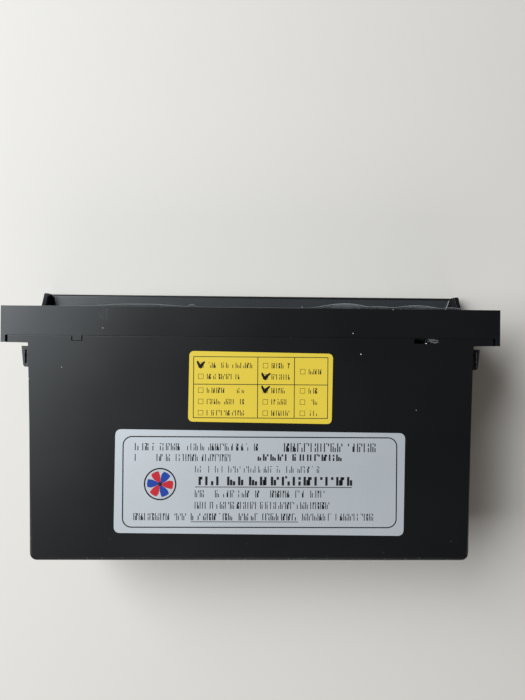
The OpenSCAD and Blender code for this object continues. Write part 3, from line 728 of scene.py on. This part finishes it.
def labelPlace(node, size):
    # from a label's own drawing, right and up from its top left corner, to its place on the case; it reads
    # from the rear, square to the case
    low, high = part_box(node)
    middle = (Vector(low) + Vector(high)) / 2
    turn = Matrix.Rotation(-math.pi, 4, "Z")
    corner = Matrix.Translation((-size[0] / 2 * mm, size[1] / 2 * mm, 0))
    return Matrix.Translation((middle.x, middle.y, high[2])) @ turn @ corner


def gather(bm, mesh, place):
    mesh.transform(place)
    bm.from_mesh(mesh)
    bpy.data.meshes.remove(mesh)


def printRow(bm, place, left, middle, length, height, stroke, share, spaces, seed):
    # fills a length with marks of one height; middle is the row's middle, down from the label's top
    width = height * share - stroke
    pitch = height * share + stroke * markGap
    mesh = runTree(markRow, {
        "Count": max(1, round((length + stroke) / pitch)), "Pitch": pitch * mm, "Width": width * mm,
        "Height": height * mm, "Stroke": stroke * mm, "Depth": inkDepth, "Spaces": spaces, "Seed": seed,
        "Material": inkBlack})
    gather(bm, mesh, place @ Matrix.Translation((left * mm, -middle * mm, 0)))


def printLine(bm, place, points, width, closed=False):
    strokeShape(bm, [(x * mm, -y * mm) for x, y in points], width * mm, 0, inkDepth, place, closed)


def fanBlade(bm, place, turn, reach, root=0.16, sweep=52):
    # one leaf of the fan pictogram, from its root by the hub out to reach: radius share and degrees
    start = 18
    lead = [(root + (1 - root) * t, start * t) for t in (i / 8 for i in range(9))]
    tip = [(1.0, start + (sweep - start) * t) for t in (0.25, 0.5, 0.75, 1.0)]
    trail = [(1 - (1 - root) * t, sweep + 34 * t * (1.15 - t)) for t in (i / 8 for i in range(1, 9))]
    points = []
    for r, a in lead + tip + trail:
        angle = math.radians(a + turn)
        points.append((reach * r * math.cos(angle), reach * r * math.sin(angle)))
    fillShape(bm, points, 0, inkDepth, place)


def makeBlades(centre):
    # the emblem's three cool and three warm blades
    for name, ink, first in (("emblemCool", inkBlue, 20), ("emblemWarm", inkRed, 80)):
        bm = bmesh.new()
        for turn in (first, first + 120, first + 240):
            fanBlade(bm, centre, turn, nameLabel["emblemReach"] * mm)
        facesOut(bm)
        newPiece(name, bm, housing, [ink])


def makeNameLabel():
    size = nameLabel["size"]
    place = labelPlace("name_label", size)
    black = bmesh.new()
    left, top, right, bottom = nameLabel["frame"]
    wide, tall = size[0] - left - right, size[1] - top - bottom
    middle = (left + wide / 2, top + tall / 2)
    border = [(x + middle[0], y + middle[1]) for x, y in roundedOutline(wide, tall, nameLabel["frameRadius"])]
    printLine(black, place, border, nameLabel["frameLine"], closed=True)
    for index, (x, y, length, height, *marks) in enumerate(nameLabel["rows"]):
        printRow(black, place, x, y + height / 2, length, height, *marks,
                 nameLabel["firstSeed"] + index * nameLabel["seedStep"])
    for x, y, length, width in nameLabel["underlines"]:
        printLine(black, place, [(x, y), (x + length, y)], width)
    x, y, radius = nameLabel["emblem"]
    centre = place @ Matrix.Translation((x * mm, -y * mm, 0))
    ring, hub = ([(px * mm, py * mm) for px, py in arcPoints(reach, 0, 360, steps)[:-1]]
                 for reach, steps in ((radius, 48), (nameLabel["hubRadius"], 20)))
    strokeShape(black, ring, nameLabel["emblemLine"] * mm, 0, inkDepth, centre, closed=True)
    fillShape(black, hub, 0, inkDepth * 1.3, centre)
    facesOut(black)
    newPiece("nameLabelPrint", black, housing, [inkBlack])
    makeBlades(centre)


def makeOptionLabel():
    place = labelPlace("option_label", optionLabel["size"])
    black = bmesh.new()
    left, top, bottom, right = optionLabel["frame"]
    line, divider = optionLabel["line"], optionLabel["divider"]
    printLine(black, place, [(left, top), (right, top), (right, bottom), (left, bottom)], line, closed=True)
    for x in optionLabel["columns"]:
        printLine(black, place, [(x, top), (x, bottom)], line)
    printLine(black, place, [(left, divider), (right, divider)], line)
    seed = optionLabel["firstSeed"]
    for (x, y, count, pitch), lengths in zip(optionLabel["boxes"], optionLabel["rowLengths"]):
        mesh = runTree(tickBoxes, {
            "Count": count, "Pitch": pitch * mm, "Side": optionLabel["boxSide"] * mm,
            "Stroke": optionLabel["boxLine"] * mm, "Depth": inkDepth, "Material": inkBlack})
        gather(black, mesh, place @ Matrix.Translation((x * mm, -y * mm, 0)))
        for row, length in enumerate(lengths):
            seed += optionLabel["seedStep"]
            printRow(black, place, x + optionLabel["rowStart"], y + row * pitch, length,
                     *(optionLabel[key] for key in ("rowHeight", "rowStroke", "rowShare", "rowSpaces")), seed)
    facesOut(black)
    newPiece("optionLabelPrint", black, housing, [inkBlack])


def makePenTicks():
    # a short fat stroke down and a long one up, swelling in the middle
    place = labelPlace("option_label", optionLabel["size"])
    pen = bmesh.new()
    side = optionLabel["tickSize"]
    for x, y, lean in optionLabel["ticks"]:
        outline = [(-0.5, 0.12), (-0.24, -0.36), (-0.06, -0.52), (0.12, -0.42), (0.34, -0.02),
                   (0.6 + lean, 0.34), (0.46 + lean, 0.46), (0.1, 0.2), (-0.1, 0.02), (-0.38, 0.5),
                   (-0.55, 0.42)]
        fillShape(pen, [(side * px * mm, side * py * mm) for px, py in outline], 0, inkDepth * 1.8,
                  place @ Matrix.Translation((x * mm, (optionLabel["tickRise"] - y) * mm, 0)))
    facesOut(pen)
    newPiece("penTicks", pen, housing, [markerInk])


makeNameLabel()
makeOptionLabel()
makePenTicks()
report("labels")


# front: push buttons with printed signs, and the display's segments
capShape = {
    "cornerRadius": 1.2, "flangeLap": 0.8, "flangeDepth": 1.0, "stemDepth": 0.8, "stemRadius": 2.4,
    # rings from the cap's side to its sunk pad: inset and depth behind the front, mm
    "rings": [(0, 0.55), (0.04, 0.3), (0.16, 0.12), (0.36, 0.02), (0.6, 0.0), (0.95, 0.05), (1.25, 0.14)],
    "wornRings": (6, 7, 8), "padDepth": 0.16, "signDepth": 0.03, "signLine": 0.38,
}
frontTurn = Matrix.Rotation(math.radians(90), 4, "X")    # turns local Z out of the front


def ringFaces(bm, a, b):
    count = len(a)
    return [bm.faces.new((a[i], a[(i + 1) % count], b[(i + 1) % count], b[i])) for i in range(count)]


def makeCap(node):
    # stem, flange and cap as one closed skin, from the stem's end to the sunk pad
    low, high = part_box(node)
    lap = capShape["flangeLap"] * mm
    middle = Vector(((low[0] + high[0]) / 2, 0, (low[2] + high[2]) / 2))
    width, height = high[0] - low[0] - 2 * lap, high[2] - low[2] - 2 * lap
    flangeBack = high[1] - capShape["stemDepth"] * mm
    flangeFront = flangeBack - capShape["flangeDepth"] * mm
    bm = bmesh.new()
    mask = bm.faces.layers.float.new("edge")

    def ring(inset, y):
        radius = max(0.25 * mm, capShape["cornerRadius"] * mm - inset)
        outline = roundedOutline(width - 2 * inset, height - 2 * inset, radius)
        return [bm.verts.new(middle + Vector((x, y, z))) for x, z in outline]

    def stemRing(y):
        points = [Vector((x, 0, z)).normalized() * capShape["stemRadius"] * mm
                  for x, z in roundedOutline(width, height, capShape["cornerRadius"] * mm)]
        return [bm.verts.new(middle + p + Vector((0, y, 0))) for p in points]

    rings = [stemRing(high[1]), stemRing(flangeBack), ring(-lap, flangeBack), ring(-lap, flangeFront),
             ring(0, flangeFront)]
    rings += [ring(inset * mm, low[1] + depth * mm) for inset, depth in capShape["rings"]]
    for index, (a, b) in enumerate(zip(rings, rings[1:])):
        for face in ringFaces(bm, a, b):
            face[mask] = 1.0 if index in capShape["wornRings"] else 0.0
    for end in (rings[0], rings[-1]):
        bm.faces.new(end)
    facesOut(bm)
    first, *others = node.split("_")
    name = first + "".join(word.capitalize() for word in others) + "Cap"
    piece = newPiece(name, bm, node, [finishes["button_plastic"]], smooth=40)
    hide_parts(node)
    return middle, low[1] + capShape["padDepth"] * mm


class Sign:
    # a printed sign on a flat front face: strokes and filled shapes in mm, across and up from its middle
    def __init__(self, middle, y):
        self.bm = bmesh.new()
        self.place = Matrix.Translation((middle.x, y, middle.z)) @ frontTurn
        self.depth = capShape["signDepth"] * mm

    def stroke(self, points, width=capShape["signLine"], closed=False):
        line = [(x * mm, y * mm) for x, y in points]
        strokeShape(self.bm, line, width * mm, 0, self.depth, self.place, closed)

    def fill(self, points):
        fillShape(self.bm, [(x * mm, y * mm) for x, y in points], 0, self.depth, self.place)

    def arrowHead(self, x, y, angle, size=0.8):
        turns = [(size, 0), (-size * 0.5, size * 0.75), (-size * 0.5, -size * 0.75)]
        c, s = math.cos(math.radians(angle)), math.sin(math.radians(angle))
        self.fill([(x + u * c - v * s, y + u * s + v * c) for u, v in turns])

    def finish(self, name, body, ink):
        facesOut(self.bm)
        newPiece(name, self.bm, body, [ink])


def powerSign(sign):
    sign.stroke(arcPoints(2.1, 125, 415, 28))
    sign.stroke([(0, 0.5), (0, 2.7)])


def autoSign(sign):
    for start in (20, 200):
        sign.stroke(arcPoints(2.2, start, start + 125, 16))
        end = start + 130
        sign.arrowHead(*arcPoints(2.2, end, end, 1)[0], end + 90, 0.9)
    fanSign(sign, 0, 1.15)


def fanSign(sign, x, reach):
    for turn in (0, 90, 180, 270):
        fanBlade(sign.bm, sign.place @ Matrix.Translation((x * mm, 0, 0)), turn, reach * mm, sweep=46)


def plusSign(sign, x, size=0.9, minus=False):
    sign.stroke([(x - size, 0), (x + size, 0)], 0.42)
    if not minus:
        sign.stroke([(x, 0.22), (x, size)], 0.42)
        sign.stroke([(x, -size), (x, -0.22)], 0.42)


def fanStepSign(sign, minus=False):
    fanSign(sign, -1.5, 1.8)
    plusSign(sign, 2.2, minus=minus)


def thermometer(sign, x):
    outline = arcPoints(0.85, -235, 55, 18, (x, -1.25)) + arcPoints(0.5, 0, 180, 8, (x, 1.6))
    sign.stroke(outline, 0.28, closed=True)
    sign.fill(arcPoints(0.42, 0, 360, 14, (x, -1.25))[:-1])
    sign.stroke([(x, -0.75), (x, 0.7)], 0.26)


def warmthSign(sign, way=1):
    thermometer(sign, -1.3)
    sign.fill([(0.9, -0.7 * way), (3.1, -0.7 * way), (2.0, 0.9 * way)])


def airflowSign(sign):
    for y, reach in ((1.3, 1.9), (0, 2.6), (-1.3, 1.9)):
        sign.stroke([(-2.4, y), (reach - 0.4, y)], 0.34)
        sign.arrowHead(reach, y, 0, 0.7)


def recirculateSign(sign):
    right, left = arcPoints(1.45, 90, -90, 12, (1.4, 0)), arcPoints(1.45, 270, 110, 12, (-1.4, 0))
    sign.stroke([(-0.2, 1.45)] + right + left, 0.36)
    sign.arrowHead(-1.1, 1.3, 20, 0.85)


def coolingSign(sign):
    for turn in range(0, 360, 60):
        a = math.radians(turn)
        c, s = math.cos(a), math.sin(a)
        sign.stroke([(0.2 * c, 0.2 * s), (2.3 * c, 2.3 * s)], 0.26)
        x, y = 1.45 * c, 1.45 * s
        for side in (-1, 1):
            b = a + side * math.radians(50)
            sign.stroke([(x, y), (x + 0.7 * math.cos(b), y + 0.7 * math.sin(b))], 0.24)


def defrostSign(sign):
    sign.stroke([(-2.9, -1.6), (-2.2, 1.6), (2.2, 1.6), (2.9, -1.6)], 0.3, closed=True)
    for x in (-1.2, 0, 1.2):
        sign.stroke([(x + 0.22 * math.sin(t * 1.1), -1.0 + t * 0.26) for t in range(7)], 0.26)
        sign.arrowHead(x + 0.1, 0.75, 90, 0.42)


signs = {
    "power": powerSign, "auto": autoSign, "fan_up": fanStepSign,
    "fan_down": lambda sign: fanStepSign(sign, minus=True),
    "warmer": warmthSign, "cooler": lambda sign: warmthSign(sign, -1), "airflow": airflowSign,
    "recirculate": recirculateSign, "cooling": coolingSign, "defrost": defrostSign,
}
for use, draw in signs.items():
    sign = Sign(*makeCap(use + "_button"))
    draw(sign)
    sign.finish(use + "Sign", use + "_button", inkWhite)
report("buttons")

displayShape = {
    "digitHeight": 11.5, "digitWidth": 6.4, "digitLean": 0.09, "segment": 1.15, "gap": 0.28,
    "digits": (-17.5, -8.6, 2.6), "point": (-3.1, 0.65),      # across; and the point's radius
    "degree": (7.9, 4.9, 0.9, 0.4),                           # across, up, radius and line
    # the level bars: count, first one across, foot, and height of the first and step to the next
    "bars": 6, "firstBar": 12.6, "barPitch": 2.4, "barWidth": 1.5, "barFoot": -5.4, "barHeight": (2.3, 1.5),
    "rule": (28.5, -8.3, 0.22), "fan": (-26, 2.3),            # half length, up and line; across and reach
    "frameLine": 0.3, "frameMargin": 1.1, "frameRadius": 2.2,
}


def sevenSegments(sign, x):
    # the seven bars of a digit, each a long hexagon
    w, h = displayShape["digitWidth"] / 2, displayShape["digitHeight"] / 2
    half, gap = displayShape["segment"] / 2, displayShape["gap"]
    level = [((-w, y), (w, y)) for y in (h, 0, -h)]
    upright = [((side, y), (side, y + h)) for y in (0, -h) for side in (-w, w)]
    for a, b in level + upright:
        a, b = Vector(a), Vector(b)
        along = (b - a).normalized()
        side = Vector((-along.y, along.x)) * half
        a, b = a + along * gap, b - along * gap
        outline = [a, a + along * half - side, b - along * half - side, b, b - along * half + side,
                   a + along * half + side]
        sign.fill([(x + p.x + p.y * displayShape["digitLean"], p.y) for p in outline])


def makeDisplay():
    low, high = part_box("display_glass")
    sign = Sign((Vector(low) + Vector(high)) / 2, low[1])
    for x in displayShape["digits"]:
        sevenSegments(sign, x)
    x, radius = displayShape["point"]
    sign.fill(arcPoints(radius, 0, 360, 14, (x, -displayShape["digitHeight"] / 2))[:-1])
    x, y, radius, line = displayShape["degree"]
    sign.stroke(arcPoints(radius, 0, 360, 16, (x, y))[:-1], line, closed=True)
    foot, half = displayShape["barFoot"], displayShape["barWidth"] / 2
    height, step = displayShape["barHeight"]
    for index in range(displayShape["bars"]):
        x = displayShape["firstBar"] + index * displayShape["barPitch"]
        top = foot + height + step * index
        sign.fill([(x - half, foot), (x + half, foot), (x + half, top), (x - half, top)])
    reach, y, line = displayShape["rule"]
    sign.stroke([(-reach, y), (reach, y)], line)
    fanSign(sign, *displayShape["fan"])
    sign.finish("displaySegments", housing, segmentInk)


def makePinstripe():
    # the thin printed line round the display window
    low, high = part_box("display_window")
    margin = displayShape["frameMargin"] * 2 * mm
    outline = roundedOutline(high[0] - low[0] + margin, high[2] - low[2] + margin,
                             displayShape["frameRadius"] * mm)
    rim = Sign((Vector(low) + Vector(high)) / 2, low[1])
    rim.stroke([(x / mm, z / mm) for x, z in outline], displayShape["frameLine"], closed=True)
    rim.finish("displayPinstripe", housing, inkGrey)


makeDisplay()
makePinstripe()
report("display")


# transit film: a thin clear sheet that lies over the front and the lip, and has come loose along its top edge
filmShape = {
    "thickness": 0.06, "clearance": 0.05, "across": 150,
    "steps": (26, 10, 5),                              # down the front, round the hollow, along the lip
    "coveRadius": 4, "lipFloor": 2.5, "lipEnd": 1.2,
    "topEnds": (-84, 90), "lipEnds": (-97, 96.5),      # mm, along the top edge and along the lip
    "looseHeight": 15, "looseFall": 2.2,               # how far down the loose waves reach, and how they fade
    # waves of the top edge: middle, half width, and how far they stand out, mm
    "waves": [(45, 24, 1.0), (24.5, 2.2, 1.1), (-37, 15, 2.0), (-50, 12, 0.9), (-66, 13, 1.5), (-80, 8, 0.7)],
    "wavePower": 0.8,
    # small ripples: how far out, and two crossing waves, per mm across, per m up, and phase
    "ripple": 0.07, "crossing": ((0.31, 190, 0), (0.083, -330, 1.3)),
    # opacity of the white sheet, clearest and most; the waves, the top row and the cut rim are made more
    # opaque, partly for haze of the creased film, partly as painted reflection of the sheet seen edge-on
    "haze": (0.02, 0.5), "waveHazeAndGlare": 0.9, "topHazeAndGlare": 0.35, "rimHazeAndGlare": 0.6, "rimWidth": 0.35,
}


def filmWave(x):
    # how far the loose top edge stands out at this place across, mm
    total = 0
    for middle, half, out in filmShape["waves"]:
        t = (x - middle) / half
        if abs(t) < 1:
            total = max(total, out * (0.5 + 0.5 * math.cos(math.pi * t)) ** filmShape["wavePower"])
    return total


def filmPath():
    # the front's section from the top edge down and out along the hollow to the lip's rim, each point with
    # its y, its z and the direction out of the surface
    front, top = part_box("transit_film")[1][1:]
    clear, radius, lipFloor = (filmShape[key] * mm for key in ("clearance", "coveRadius", "lipFloor"))
    coveY, coveZ = front - radius, lipFloor + radius
    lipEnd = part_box("bezel")[0][1] + filmShape["lipEnd"] * mm
    downSteps, coveSteps, lipSteps = filmShape["steps"]
    upper = [(front, top + (coveZ - top) * i / downSteps, -1, 0) for i in range(downSteps)]
    cove = []
    for i in range(coveSteps + 1):
        a = math.radians(-90 * i / coveSteps)
        c, s = math.cos(a), math.sin(a)
        cove.append((coveY + radius * c, coveZ + radius * s, -c, -s))
    floorPart = [(coveY + (lipEnd - coveY) * i / lipSteps, lipFloor, 0, 1) for i in range(1, lipSteps + 1)]
    return [(y + ny * clear, z + nz * clear, ny, nz) for y, z, ny, nz in upper + cove + floorPart]


def filmSheet(bm, haze, path, layer):
    # one side of the sheet as rows of vertices, each with its opacity: partly haze of the creased film, partly
    # painted reflection where the loose top, the waves and the rim are seen edge-on
    top, columns = path[0][1], filmShape["across"]
    clearest, mostHazeGlare = filmShape["haze"]
    rows = []
    for j, (y, z, ny, nz) in enumerate(path):
        down = j / (len(path) - 1)
        left, right = (a + (b - a) * down for a, b in zip(filmShape["topEnds"], filmShape["lipEnds"]))
        rim = filmShape["rimWidth"] / (right - left)
        fade = 0 if nz else max(0, 1 - (top - z) / (filmShape["looseHeight"] * mm)) ** filmShape["looseFall"]
        row = []
        for i in range(columns + 1):
            # the first and last columns are narrow and make the rim
            t = rim if i == 1 else 1 - rim if i == columns - 1 else i / columns
            x = left + (right - left) * t
            loose = filmWave(x) * fade
            ripple = 1 + math.prod(math.sin(x * across + z * up + phase)
                                   for across, up, phase in filmShape["crossing"])
            out = (loose + filmShape["ripple"] * ripple + layer * filmShape["thickness"]) * mm
            vert = bm.verts.new((x * mm, y + ny * out, z + nz * out))
            # the loose waves, the top row and the rim are more opaque: partly haze of the creased film, partly
            # painted reflection of the sheet seen edge-on
            hazeGlareShare = min(1, loose * filmShape["waveHazeAndGlare"] + filmShape["topHazeAndGlare"] * (j == 0))
            level = clearest + (mostHazeGlare - clearest) * hazeGlareShare
            vert[haze] = filmShape["rimHazeAndGlare"] if i in (0, columns) and j else level
            row.append(vert)
        rows.append(row)
    return rows


def makeFilm():
    path, columns = filmPath(), filmShape["across"]
    bm = bmesh.new()
    haze = bm.verts.layers.float.new("haze")
    inner, outer = (filmSheet(bm, haze, path, layer) for layer in (0, 1))
    for rows in (inner, outer):
        for upper, lower in zip(rows, rows[1:]):
            for i in range(columns):
                bm.faces.new((upper[i], upper[i + 1], lower[i + 1], lower[i]))
    for j in range(len(path) - 1):
        for i in (0, columns):
            bm.faces.new((inner[j][i], inner[j + 1][i], outer[j + 1][i], outer[j][i]))
    for j in (0, len(path) - 1):
        for i in range(columns):
            bm.faces.new((inner[j][i], inner[j][i + 1], outer[j][i + 1], outer[j][i]))
    facesOut(bm)
    piece = newPiece("transitFilm", bm, housing, [finishes["clear_film"]], smooth=60)
    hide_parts("transit_film")


makeFilm()
report("transit film")


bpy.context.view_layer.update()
report("done")
